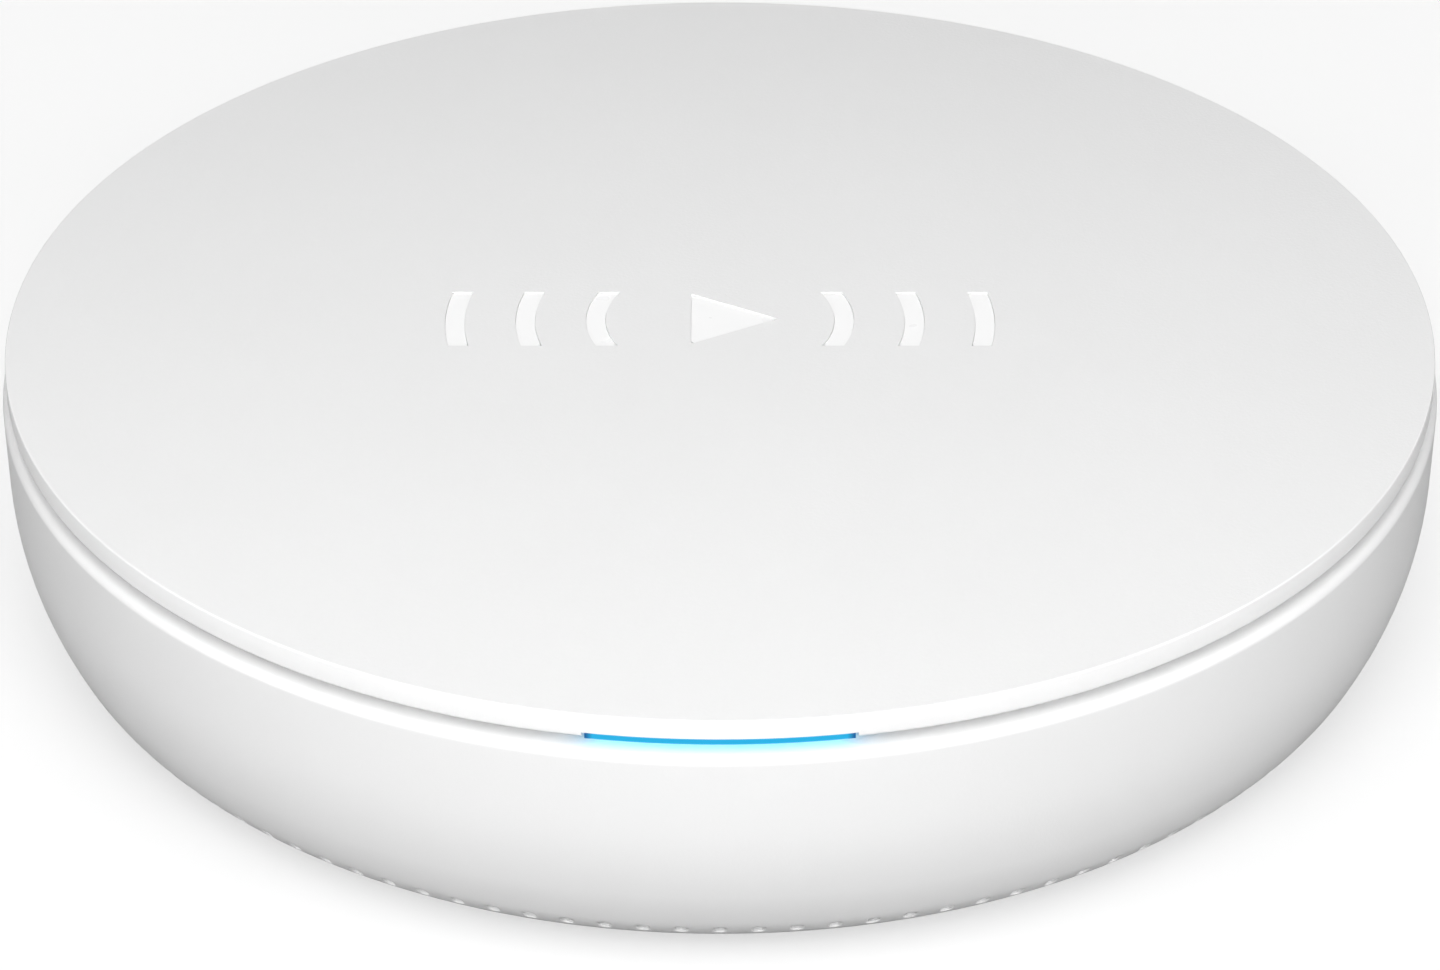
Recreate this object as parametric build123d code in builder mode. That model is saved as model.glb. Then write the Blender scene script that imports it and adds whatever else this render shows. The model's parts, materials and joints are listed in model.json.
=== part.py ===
"""Round streaming media player with a lit front edge and a row of sockets at the back.

Frame: origin on the surface it stands on, under the centre of the round body; +Z up; front towards -Y.
"""
import os
from math import cos, radians, sin, tan

from build123d import *

# Overall shape, in millimetres
total_height = 36.0
cover_radius = 85.8
cover_edge = 3.0  # thickness at the rim of the top cover
cover_skin = 2.2  # thickness inside the rim
body_radius = 86.4
ledge_z = 31.45
shoulder_radius = 1.0
wall_draft = 1.0  # degrees
side_radius = 36.0
corner_angle = 26.0  # degrees below horizontal where the side arc meets the corner arc
corner_radius = 10.0
base_z = 1.2
wall = 2.0
gap = 0.3  # between pieces that move past each other
pilot_gap = 0.05  # between pieces fitted into each other
insert_gap = 0.02  # between pieces moulded or pressed together
cut_margin = 1.0  # how far a cutter or a root runs past a face

front = -90.0  # degrees about +Z
rear = 90.0

cover_under_z = total_height - cover_edge
cover_ceiling_z = total_height - cover_skin
floor_z = base_z + wall

# Rim that the cover rests on
rim_inner_radius = 80.5
rim_outer_radius = 82.5
ledge_under_z = ledge_z - wall

# Main board
board_z = 8.0
board_thickness = 1.6
board_radius = 77.5
board_half_width = 54.0
board_front_y = -40.0
board_rear_y = 74.2
board_top_z = board_z + board_thickness

# Rear bay with the sockets
panel_y = 77.0
panel_thickness = 2.0
panel_inner_y = panel_y - panel_thickness
bay_width = 71.0
bay_low_z = 9.0
bay_high_z = 26.0
bay_corner = 2.5
bay_shelf = 1.5
socket_z = 15.6
coax_z = 17.4
coax_x = -27.5
ethernet_x = -12.0
reset_x = 0.0
usb_x = 11.2
power_x = 26.0

# Fasteners: (x, y) places
housing_screw_circle = 66.0
housing_screw_angles = [25.0, 155.0, 240.0, 300.0]
board_screw_places = [(-47.0, -32.0), (47.0, -32.0), (-47.0, 44.0), (47.0, 44.0)]
boss_radius = 4.0
boss_split_z = 14.0
housing_screw_radius = 1.45
board_screw_radius = 1.25

# Foot ring
foot_inner_radius = 61.0
foot_outer_radius = 69.0
foot_groove_depth = 0.5
foot_edge_radius = 0.4

# Light strip in the front edge of the cover
light_half_angle = 9.55
guide_outer_radius = 85.7
guide_lip_radius = 84.6
guide_lip_top_z = cover_under_z + 0.2
guide_lip_low_z = cover_under_z - 0.35
guide_drop_radius = 83.0
guide_top_z = cover_under_z + 1.4
guide_inner_radius = 77.0
guide_leg_radius = 79.4
guide_leg_z = 32.0
guide_bevel = 1.0
led_board_half_angle = 14.0
led_board_inner_radius = 73.5
led_board_outer_radius = 80.0
led_board_top_z = ledge_under_z + 1.2
led_angles = [-7.5, -2.5, 2.5, 7.5]
led_screw_angles = [-12.3, 12.3]
led_screw_circle = 77.5
led_screw_radius = 0.95

# Outline of the bowl
draft_sin = sin(radians(wall_draft))
draft_cos = cos(radians(wall_draft))
corner_sin = sin(radians(corner_angle))
corner_cos = cos(radians(corner_angle))
wall_start = (
    body_radius - shoulder_radius + shoulder_radius * draft_cos,
    ledge_z - shoulder_radius - shoulder_radius * draft_sin,
)
side_start_z = base_z + corner_radius * (1 - corner_sin) + side_radius * (corner_sin - draft_sin)
side_start = (wall_start[0] - (wall_start[1] - side_start_z) * tan(radians(wall_draft)), side_start_z)
inner_side_start = (side_start[0] - wall * draft_cos, side_start[1] + wall * draft_sin)
inner_wall_top = (
    inner_side_start[0] + (ledge_under_z - inner_side_start[1]) * tan(radians(wall_draft)),
    ledge_under_z,
)
corner_centre = (
    side_start[0] - side_radius * (draft_cos - corner_cos) - corner_radius * corner_cos,
    base_z + corner_radius,
)
bay_half_block = 39.0
bay_block_low_z = bay_low_z - bay_shelf

# Lower housing
groove_top_z = base_z + foot_groove_depth
housing_head_radius = 2.6
housing_head_height = 2.0
housing_shank_gap = 0.25
led_boss_radius = 2.4
led_boss_length = 4.5
led_pilot_depth = 4.0
board_boss_radius = 3.5
bay_cut_depth = 20.0
housing_seat_z = 4.4
housing_screw_tip_z = 22.0
board_screw_tip_z = 3.8
vent_count = 120
vent_angle = 37.5  # degrees below horizontal on the corner arc
vent_width = 1.4
vent_length = 1.9
vent_reach = 0.4
vent_normal = (cos(radians(vent_angle)), -sin(radians(vent_angle)))
vent_start_radius = corner_centre[0] + (corner_radius + vent_reach) * vent_normal[0]
vent_start_z = corner_centre[1] + (corner_radius + vent_reach) * vent_normal[1]
base_vent_count = 40
base_vent_radius = 50.0
base_vent_length = 12.0
base_vent_width = 2.0
shelf_half_angle = 15.0
shelf_inner_radius = 73.0
shelf_low_z = 28.0
label_length = 50.0
label_width = 30.0
label_recess = 0.15
label_corner = 2.0
label_thickness = 0.2
coax_barrel_radius = 4.7
power_nose_radius = 4.0
reset_radius = 2.0
reset_z = 13.0
ethernet_width = 16.0
ethernet_height = 13.5
usb_width = 13.3
usb_height = 5.9
usb_low_z = board_top_z + 0.3
port_clearance = 0.3

# Top cover
top_edge_radius = 0.2
under_edge_radius = 0.5
skirt_inner_radius = 78.8
skirt_outer_radius = 80.2
skirt_low_z = 28.3
rim_match = 0.01
skirt_front_gap = 16.0
skirt_rear_gap = 32.0
skirt_half_angle = (180 - skirt_front_gap - skirt_rear_gap) / 2
skirt_middle = rear - skirt_rear_gap - skirt_half_angle
hook_angles = [0.0, 45.0, 135.0, 180.0, 225.0, 315.0]
hook_half_angle = 3.0
hook_reach = 1.3
hook_root = 0.5
hook_tip_height = 0.3
hook_top_z = ledge_under_z - 0.1
mark_depth = 0.4
mark_height = 13.0
mark_stroke = 2.4
mark_radii = [32.0, 23.5, 15.0]  # middle radius of each pair of waves
mark_play = 7.0
mark_corner = 0.6
guide_end_gap = 0.2  # degrees
pilot_depth = 11.0

# Inlay of the mark
mark_thickness = 0.25

# Light board and LEDs
led_width = 3.0
led_depth = 1.8
led_height = 0.9
led_hole_gap = 0.2
led_row_radius = (guide_inner_radius + guide_leg_radius) / 2

# Light board screws
led_screw_head_radius = 1.7
led_screw_head_height = 1.2
led_screw_length = 3.5
led_screw_top_z = led_board_top_z + led_screw_head_height
cross_half_length = 0.9
cross_half_width = 0.2
cross_depth = 0.6

# Flex cable
connector_width = 9.0
connector_length = 3.0
connector_height = 1.6
flex_width = 7.0
flex_thickness = 0.3
connector_overhang = 0.1
upper_connector_y = connector_overhang - led_board_inner_radius - connector_length
connector_setback = 2.0
lower_connector_y = board_front_y + connector_setback
flex_bend_y = -62.0
flex_landing_y = -50.0
flex_bend_radius = 4.0
flex_upper_z = led_board_top_z + connector_height / 2
flex_lower_z = board_top_z + connector_height / 2

# Screw drives
drive_radius = 1.2
drive_depth = 1.2

# Main board and heat spreader places
board_hole_radius = 1.6
board_corner = 3.0
sink_half_width = 32.0
sink_low_y = -30.0
sink_high_y = 22.0
sink_pin_places = [(-28.0, -26.0), (28.0, 18.0)]
sink_pin_radius = 1.5
sink_pin_gap = 0.1
sink_pin_stand = 1.5
sink_pin_head_radius = 2.8
sink_corner = 3.0

# Main board screws
board_head_radius = 2.75
board_head_height = 2.0

# Processor, pad and heat spreader
processor_height = 1.6
processor_half_width = 10.0
pad_half_width = 9.0
pad_height = 1.0
sink_low_z = board_top_z + processor_height + pad_height
sink_base_height = 2.5
sink_base_top_z = sink_low_z + sink_base_height
sink_top_z = 26.0
fin_count = 9
fin_pitch = 5.5
fin_thickness = 1.2
fin_half_length = 25.0
fin_half_height = (sink_top_z - sink_base_top_z) / 2
sink_middle_y = (sink_low_y + sink_high_y) / 2

# Chips, modules and antennas
memory_places = [-19.0, 19.0]
memory_half_width = 4.5
memory_half_length = 6.5
memory_height = 1.1
storage_x = (-48.0, -36.5)
storage_y = (-12.0, 1.0)
storage_height = 1.0
wifi_x = (35.5, 50.5)
wifi_y = (-22.0, -6.0)
wifi_height = 2.4
wifi_corner = 1.0
antenna_places = [-28.0, 28.0]
antenna_half_width = 9.0
antenna_front_y = -38.5
antenna_depth = 5.0
antenna_height = 5.0
antenna_skin = 0.6
tuner_x = (-44.0, -12.0)
tuner_y = (27.0, 52.0)
tuner_height = 7.0
tuner_corner = 1.5
tuner_skin = 0.4

# Capacitors and inductors
capacitor_places = [(44.0, 56.0), (33.0, 54.0), (45.5, 34.0)]
capacitor_radius = 4.0
capacitor_height = 9.5
capacitor_edge = 0.6
inductor_x = 25.5
inductor_rows = [29.0, 38.0, 47.0]
inductor_half_width = 3.5
inductor_height = 3.2
inductor_corner = 1.4

# Aerial socket
coax_tip_y = 86.0
coax_body_front_y = 74.0
coax_nut_thickness = 2.4
coax_nut_front_y = panel_y + coax_nut_thickness
coax_relief = 0.3  # thread depth, taken off where the nut is screwed on
coax_bore_radius = 3.6
coax_contact_radius = 0.85
coax_nut_flats = 11.1
coax_half_width = 6.0
coax_rear_y = 61.5
coax_chamfer = 0.4
coax_bore_rear_y = 66.0
insulator_rear_y = 66.5
insulator_front_y = coax_tip_y - 0.6
coax_contact_front_y = coax_tip_y - 1.4
coax_contact_wall = 0.4
coax_contact_bore_y = 72.0

# Network socket
ethernet_rear_y = 55.0
ethernet_front_y = 77.2
shield_skin = 0.4
ethernet_top_z = board_top_z + ethernet_height
mouth_half_width = 5.9
mouth_low_z = 11.8
mouth_high_z = 19.8
mouth_rear_y = 63.0
latch_half_width = 3.1
latch_high_z = 21.8

# Network contacts
contact_count = 8
contact_pitch = 1.016
contact_width = 0.4
contact_rise = 2.6
contact_run = 4.0
contact_tail = 1.5
contact_bend = 0.6
contact_low_z = mouth_low_z + contact_width / 2 + insert_gap

# USB socket
usb_rear_y = 62.5
usb_front_y = 77.3
usb_top_z = usb_low_z + usb_height
tongue_half_width = 5.6
tongue_low_z = usb_low_z + 2.9
tongue_thickness = 1.84
tongue_front_y = 76.3
tongue_block_y = 66.0
tongue_chamfer = 0.4
usb_corner = 0.5

# USB contacts
usb_contact_places = [-3.5, -1.0, 1.0, 3.5]
usb_contact_thickness = 0.15
usb_contact_half_width = 0.5
usb_contact_setback = 1.0

# Power socket
power_rear_y = 62.5
power_shoulder_y = 73.5
power_bore_radius = 3.15
power_bore_rear_y = 66.0
power_pin_radius = 1.0
power_pin_setback = 1.0
power_pin_nose = 0.6
power_half_width = 4.5
power_height = 11.0

# Reset button and switch
reset_travel = 0.5
switch_front_y = 69.5
switch_depth = 3.5
switch_half_width = 3.0
plunger_radius = 1.5
plunger_front_y = 71.5
plunger_depth = 1.5
plunger_rear_y = switch_front_y - plunger_depth
plunger_gap = 0.2
flange_radius = 2.9
flange_rear_y = 73.5
flange_front_y = panel_inner_y - gap
stem_radius = 1.2
reset_stand = 0.8  # how far the button stands out of the panel
reset_edge_radius = 0.4

os.makedirs("parts", exist_ok=True)


def save(builder, name):
    """Label a finished piece and write it under its own name."""
    builder.part.label = name
    export_step(builder.part, "parts/" + name + ".step")


def meridian(angle):
    """Vertical half-plane at an angle about +Z, with local x outwards and local y up."""
    return Plane.XZ.rotated((0, 0, angle))


def polar(radius, angle):
    """Point at a radius and an angle about +Z."""
    return (radius * cos(radians(angle)), radius * sin(radians(angle)))


def sector(points, centre_angle, half_angle, mode=Mode.ADD):
    """Sweep a closed outline of (radius, z) points about +Z, either side of an angle."""
    with BuildSketch(meridian(centre_angle - half_angle)) as profile:
        with BuildLine():
            Polyline(*points, close=True)
        make_face()
    revolve(profile.sketch, axis=Axis.Z, revolution_arc=2 * half_angle, mode=mode)


def block(x, y, z, mode=Mode.ADD):
    """Box from its low and high limit along each axis."""
    with Locations(((x[0] + x[1]) / 2, (y[0] + y[1]) / 2, (z[0] + z[1]) / 2)):
        Box(x[1] - x[0], y[1] - y[0], z[1] - z[0], mode=mode)


def disc_along_y(x, z, radius, y_low, y_high, mode=Mode.ADD):
    """Cylinder along Y between two limits."""
    with Locations((x, (y_low + y_high) / 2, z)):
        Cylinder(radius, y_high - y_low, rotation=(90, 0, 0), mode=mode)


def disc(places, radius, z_low, z_high, mode=Mode.ADD):
    """Upright cylinders at (x, y) places between two heights."""
    with Locations(*[(x, y, (z_low + z_high) / 2) for x, y in places]):
        Cylinder(radius, z_high - z_low, mode=mode)


# Space inside the bowl, less the block that the rear bay stands in
with BuildPart() as cavity:
    with BuildSketch(Plane.XZ):
        with BuildLine():
            inner_wall = Line(inner_wall_top, inner_side_start)
            inner_side = JernArc(
                inner_wall @ 1, inner_wall % 1, side_radius - wall, wall_draft - corner_angle
            )
            inner_corner = JernArc(
                inner_side @ 1, inner_side % 1, corner_radius - wall, corner_angle - 90
            )
            Polyline(
                inner_corner @ 1,
                (0, floor_z),
                (0, total_height),
                (rim_inner_radius, total_height),
                (rim_inner_radius, ledge_under_z),
                inner_wall_top,
            )
        make_face()
    revolve(axis=Axis.Z)
    with BuildSketch(Plane.XY.offset(bay_block_low_z)):
        with Locations((0, panel_inner_y)):
            Rectangle(2 * bay_half_block, total_height, align=(Align.CENTER, Align.MIN))
    extrude(amount=ledge_under_z - bay_block_low_z, mode=Mode.SUBTRACT)

# Lower housing: bowl with ledge, rim, bosses, rear bay and vents
led_screw_places = [polar(led_screw_circle, front + angle) for angle in led_screw_angles]
housing_screw_places = [polar(housing_screw_circle, angle) for angle in housing_screw_angles]
vent_planes = []
for i in range(vent_count):
    angle = i * 360 / vent_count
    vent_planes.append(
        Plane(
            origin=(*polar(vent_start_radius, angle), vent_start_z),
            x_dir=(*polar(1, angle + 90), 0),
            z_dir=(*polar(vent_normal[0], angle), vent_normal[1]),
        )
    )

with BuildPart() as lower_housing:
    with BuildSketch(Plane.XZ):
        with BuildLine():
            ledge = Line((rim_outer_radius, ledge_z), (body_radius - shoulder_radius, ledge_z))
            shoulder = JernArc(ledge @ 1, ledge % 1, shoulder_radius, -90 - wall_draft)
            outer_wall = Line(shoulder @ 1, side_start)
            outer_side = JernArc(outer_wall @ 1, outer_wall % 1, side_radius, wall_draft - corner_angle)
            outer_corner = JernArc(outer_side @ 1, outer_side % 1, corner_radius, corner_angle - 90)
            Polyline(
                outer_corner @ 1,
                (foot_outer_radius + gap, base_z),
                (foot_outer_radius + gap, groove_top_z),
                (foot_inner_radius - gap, groove_top_z),
                (foot_inner_radius - gap, base_z),
                (0, base_z),
                (0, cover_under_z),
                (rim_outer_radius, cover_under_z),
                (rim_outer_radius, ledge_z),
            )
        make_face()
    revolve(axis=Axis.Z)
    add(cavity.part, mode=Mode.SUBTRACT)
    # Shelf for the light board, with two screw bosses
    sector(
        [
            (shelf_inner_radius, shelf_low_z),
            (rim_inner_radius + wall, shelf_low_z),
            (rim_inner_radius + wall, ledge_under_z),
            (shelf_inner_radius, ledge_under_z),
        ],
        front,
        shelf_half_angle,
    )
    disc(led_screw_places, led_boss_radius, ledge_under_z - led_boss_length, ledge_under_z)
    disc(
        led_screw_places,
        led_screw_radius + pilot_gap,
        ledge_under_z - led_pilot_depth,
        ledge_under_z,
        Mode.SUBTRACT,
    )
    # Bosses for the cover screws and for the main board
    disc(housing_screw_places, boss_radius, groove_top_z, boss_split_z)
    disc(housing_screw_places, housing_screw_radius + housing_shank_gap, base_z, boss_split_z, Mode.SUBTRACT)
    disc(housing_screw_places, housing_head_radius + gap, base_z, housing_seat_z, Mode.SUBTRACT)
    disc(board_screw_places, board_boss_radius, floor_z, board_z)
    disc(board_screw_places, board_screw_radius + pilot_gap, board_screw_tip_z - gap, board_z, Mode.SUBTRACT)
    # Rear bay and the openings in its panel
    with BuildSketch(Plane.XZ.offset(-panel_y)):
        with Locations((0, (bay_low_z + bay_high_z) / 2)):
            RectangleRounded(bay_width, bay_high_z - bay_low_z, bay_corner)
    extrude(amount=-bay_cut_depth, mode=Mode.SUBTRACT)
    with BuildSketch(Plane.XZ.offset(cut_margin - panel_inner_y)):
        with Locations((coax_x, coax_z)):
            Circle(coax_barrel_radius + port_clearance)
        with Locations((power_x, socket_z)):
            Circle(power_nose_radius + port_clearance)
        with Locations((reset_x, reset_z)):
            Circle(reset_radius + gap)
        with Locations((ethernet_x, board_top_z + ethernet_height / 2)):
            Rectangle(ethernet_width + 2 * port_clearance, ethernet_height + 2 * port_clearance)
        with Locations((usb_x, usb_low_z + usb_height / 2)):
            Rectangle(usb_width + 2 * port_clearance, usb_height + 2 * port_clearance)
    extrude(amount=-panel_thickness - 2 * cut_margin, mode=Mode.SUBTRACT)
    # Ring of vents round the lower corner
    with BuildSketch(*vent_planes):
        SlotOverall(vent_length, vent_width, rotation=90)
    extrude(amount=-wall - 2 * vent_reach, mode=Mode.SUBTRACT)
    # Vents and label recess in the underside
    with BuildSketch(Plane.XY.offset(base_z)):
        with PolarLocations(base_vent_radius, base_vent_count):
            SlotOverall(base_vent_length, base_vent_width)
    extrude(amount=wall, mode=Mode.SUBTRACT)
    with BuildSketch(Plane.XY.offset(base_z)):
        RectangleRounded(label_length + 2 * gap, label_width + 2 * gap, label_corner + gap)
    extrude(amount=label_recess, mode=Mode.SUBTRACT)
save(lower_housing, "lower_housing")

# Top cover: disc with a hanging skirt, snap hooks, screw posts and a pocket for the light guide

# Generic streaming mark: a play triangle between three waves on either side
with BuildSketch(Plane.XY.offset(total_height - mark_depth)) as mark:
    for wave_radius in mark_radii:
        Circle(wave_radius + mark_stroke / 2)
        Circle(wave_radius - mark_stroke / 2, mode=Mode.SUBTRACT)
    Rectangle(2 * cover_radius, mark_height, mode=Mode.INTERSECT)
    RegularPolygon(mark_play, 3)
    fillet(mark.vertices(), mark_corner)

with BuildPart() as top_cover:
    with BuildSketch(Plane.XZ):
        with BuildLine():
            Polyline(
                (0, cover_ceiling_z),
                (0, total_height),
                (cover_radius, total_height),
                (cover_radius, cover_under_z),
                (skirt_outer_radius, cover_under_z),
                (skirt_inner_radius, cover_ceiling_z),
                close=True,
            )
        make_face()
    revolve(axis=Axis.Z)
    for edge_end, edge_radius in ((-1, top_edge_radius), (0, under_edge_radius)):
        rim_edges = top_cover.edges().filter_by(GeomType.CIRCLE).filter_by(
            lambda edge: abs(edge.radius - cover_radius) < rim_match
        )
        fillet(rim_edges.sort_by(Axis.Z)[edge_end], edge_radius)
    for middle in (skirt_middle, 180 - skirt_middle):
        sector(
            [
                (skirt_inner_radius, skirt_low_z),
                (skirt_outer_radius, skirt_low_z),
                (skirt_outer_radius, cover_ceiling_z + cut_margin),
                (skirt_inner_radius, cover_ceiling_z + cut_margin),
            ],
            middle,
            skirt_half_angle,
        )
    for hook_angle in hook_angles:
        sector(
            [
                (skirt_outer_radius - hook_root, skirt_low_z),
                (skirt_outer_radius, skirt_low_z),
                (skirt_outer_radius + hook_reach, hook_top_z - hook_tip_height),
                (skirt_outer_radius + hook_reach, hook_top_z),
                (skirt_outer_radius - hook_root, hook_top_z),
            ],
            hook_angle,
            hook_half_angle,
        )
    disc(housing_screw_places, boss_radius, boss_split_z, cover_ceiling_z + cut_margin)
    disc(
        housing_screw_places,
        housing_screw_radius + pilot_gap,
        boss_split_z,
        boss_split_z + pilot_depth,
        Mode.SUBTRACT,
    )
    sector(
        [
            (guide_inner_radius - gap, skirt_low_z),
            (guide_inner_radius - gap, guide_top_z + pilot_gap),
            (guide_lip_radius + pilot_gap, guide_top_z + pilot_gap),
            (guide_lip_radius + pilot_gap, guide_lip_top_z + pilot_gap),
            (body_radius, guide_lip_top_z + pilot_gap),
            (body_radius, skirt_low_z),
        ],
        front,
        light_half_angle + guide_end_gap,
        Mode.SUBTRACT,
    )
    extrude(mark.sketch, amount=2 * mark_depth, mode=Mode.SUBTRACT)
save(top_cover, "top_cover")

# Glossy inlay of the mark, lying in its recess
with BuildSketch(Plane.XY.offset(total_height - mark_depth)) as inlay:
    add(mark.sketch)
    offset(amount=-pilot_gap, mode=Mode.REPLACE)
with BuildPart() as cover_mark:
    extrude(inlay.sketch, amount=mark_thickness)
save(cover_mark, "cover_mark")

# Light guide: a leg down to the LEDs, a bar across the rim and a thin lip in the edge of the cover
with BuildPart() as light_guide:
    sector(
        [
            (guide_inner_radius, guide_leg_z),
            (guide_leg_radius, guide_leg_z),
            (guide_leg_radius, cover_under_z),
            (guide_drop_radius, cover_under_z),
            (guide_drop_radius, guide_lip_low_z),
            (guide_outer_radius, guide_lip_low_z),
            (guide_outer_radius, guide_lip_top_z),
            (guide_lip_radius, guide_lip_top_z),
            (guide_lip_radius, guide_top_z),
            (guide_inner_radius + guide_bevel, guide_top_z),
            (guide_inner_radius, guide_top_z - guide_bevel),
        ],
        front,
        light_half_angle,
    )
save(light_guide, "light_guide")

# Light board on its shelf, its LEDs and screws
with BuildPart() as led_board:
    sector(
        [
            (led_board_inner_radius, ledge_under_z),
            (led_board_outer_radius, ledge_under_z),
            (led_board_outer_radius, led_board_top_z),
            (led_board_inner_radius, led_board_top_z),
        ],
        front,
        led_board_half_angle,
    )
    disc(led_screw_places, led_screw_radius + led_hole_gap, ledge_under_z, led_board_top_z, Mode.SUBTRACT)
save(led_board, "led_board")

with BuildPart() as status_leds:
    for led_angle in led_angles:
        led_plane = Plane.XY.offset(led_board_top_z) * Location(
            (*polar(led_row_radius, front + led_angle), 0), (0, 0, led_angle)
        )
        with BuildSketch(led_plane) as led:
            Rectangle(led_width, led_depth)
        extrude(led.sketch, amount=led_height)
save(status_leds, "status_leds")

with BuildPart() as led_screws:
    disc(led_screw_places, led_screw_radius, ledge_under_z - led_screw_length, led_board_top_z)
    disc(led_screw_places, led_screw_head_radius, led_board_top_z, led_screw_top_z)
    for x, y in led_screw_places:
        for half_x, half_y in ((cross_half_length, cross_half_width), (cross_half_width, cross_half_length)):
            block(
                (x - half_x, x + half_x),
                (y - half_y, y + half_y),
                (led_screw_top_z - cross_depth, led_screw_top_z),
                Mode.SUBTRACT,
            )
save(led_screws, "led_screws")

# Flat flex cable from the light board to the main board, and a connector at each end
with BuildPart() as flex_connectors:
    block(
        (-connector_width / 2, connector_width / 2),
        (upper_connector_y, upper_connector_y + connector_length),
        (led_board_top_z, led_board_top_z + connector_height),
    )
    block(
        (-connector_width / 2, connector_width / 2),
        (lower_connector_y, lower_connector_y + connector_length),
        (board_top_z, board_top_z + connector_height),
    )
save(flex_connectors, "flex_connectors")

with BuildSketch(Plane.YZ) as flex_profile:
    with BuildLine() as flex_path:
        FilletPolyline(
            (upper_connector_y + connector_length, flex_upper_z),
            (flex_bend_y, flex_upper_z),
            (flex_landing_y, flex_lower_z),
            (lower_connector_y, flex_lower_z),
            radius=flex_bend_radius,
        )
    trace(line_width=flex_thickness)
with BuildPart() as flex_cable:
    extrude(flex_profile.sketch, amount=flex_width / 2, both=True)
save(flex_cable, "flex_cable")

# Rubber foot ring, blank label and the housing screws under the ring
with BuildPart() as foot_ring:
    with BuildSketch():
        Circle(foot_outer_radius)
        Circle(foot_inner_radius, mode=Mode.SUBTRACT)
    extrude(amount=groove_top_z)
    fillet(foot_ring.edges().group_by(Axis.Z)[0], foot_edge_radius)
save(foot_ring, "foot_ring")

with BuildPart() as rating_label:
    with BuildSketch(Plane.XY.offset(base_z + label_recess)):
        RectangleRounded(label_length, label_width, label_corner)
    extrude(amount=-label_thickness)
save(rating_label, "rating_label")

with BuildPart() as housing_screws:
    disc(housing_screw_places, housing_head_radius, housing_seat_z - housing_head_height, housing_seat_z)
    disc(housing_screw_places, housing_screw_radius, housing_seat_z, housing_screw_tip_z)
    with BuildSketch(Plane.XY.offset(housing_seat_z - housing_head_height)) as drives:
        with Locations(*housing_screw_places):
            RegularPolygon(drive_radius, 6)
    extrude(drives.sketch, amount=drive_depth, mode=Mode.SUBTRACT)
save(housing_screws, "housing_screws")

# Main board and its screws
with BuildPart() as main_board:
    with BuildSketch(Plane.XY.offset(board_z)) as board_outline:
        Circle(board_radius)
        with Locations((0, (board_front_y + board_rear_y) / 2)):
            Rectangle(2 * board_half_width, board_rear_y - board_front_y, mode=Mode.INTERSECT)
        fillet(board_outline.vertices().group_by(Axis.Y)[0], board_corner)
    extrude(amount=board_thickness)
    disc(board_screw_places, board_hole_radius, board_z, board_top_z, Mode.SUBTRACT)
    disc(sink_pin_places, sink_pin_radius + sink_pin_gap, board_z, board_top_z, Mode.SUBTRACT)
save(main_board, "main_board")

with BuildPart() as board_screws:
    disc(board_screw_places, board_screw_radius, board_screw_tip_z, board_top_z)
    disc(board_screw_places, board_head_radius, board_top_z, board_top_z + board_head_height)
    with BuildSketch(Plane.XY.offset(board_top_z + board_head_height)) as drives:
        with Locations(*board_screw_places):
            RegularPolygon(drive_radius, 6)
    extrude(drives.sketch, amount=-drive_depth, mode=Mode.SUBTRACT)
save(board_screws, "board_screws")

# Processor, pad and finned heat spreader with its push pins
with BuildPart() as processor:
    block(
        (-processor_half_width, processor_half_width),
        (sink_middle_y - processor_half_width, sink_middle_y + processor_half_width),
        (board_top_z, board_top_z + processor_height),
    )
save(processor, "processor")

with BuildPart() as thermal_pad:
    block(
        (-pad_half_width, pad_half_width),
        (sink_middle_y - pad_half_width, sink_middle_y + pad_half_width),
        (board_top_z + processor_height, sink_low_z),
    )
save(thermal_pad, "thermal_pad")

with BuildPart() as heat_spreader:
    block((-sink_half_width, sink_half_width), (sink_low_y, sink_high_y), (sink_low_z, sink_base_top_z))
    fillet(heat_spreader.edges().filter_by(Axis.Z), sink_corner)
    with Locations((0, sink_middle_y, sink_base_top_z + fin_half_height)):
        with GridLocations(fin_pitch, 1, fin_count, 1):
            Box(fin_thickness, 2 * fin_half_length, 2 * fin_half_height)
    disc(sink_pin_places, sink_pin_radius + sink_pin_gap, sink_low_z, sink_base_top_z, Mode.SUBTRACT)
save(heat_spreader, "heat_spreader")

with BuildPart() as heat_spreader_pins:
    disc(sink_pin_places, sink_pin_radius, board_z - sink_pin_stand, sink_base_top_z)
    disc(sink_pin_places, sink_pin_head_radius, sink_base_top_z, sink_base_top_z + sink_pin_stand)
save(heat_spreader_pins, "heat_spreader_pins")

# Chips and modules round the processor
with BuildPart() as memory_chips:
    for chip_x in memory_places:
        block(
            (chip_x - memory_half_width, chip_x + memory_half_width),
            (sink_middle_y - memory_half_length, sink_middle_y + memory_half_length),
            (board_top_z, board_top_z + memory_height),
        )
save(memory_chips, "memory_chips")

with BuildPart() as storage_chip:
    block(storage_x, storage_y, (board_top_z, board_top_z + storage_height))
save(storage_chip, "storage_chip")

with BuildPart() as wifi_module:
    block(wifi_x, wifi_y, (board_top_z, board_top_z + wifi_height))
    fillet(wifi_module.edges().filter_by(Axis.Z), wifi_corner)
save(wifi_module, "wifi_module")

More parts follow.
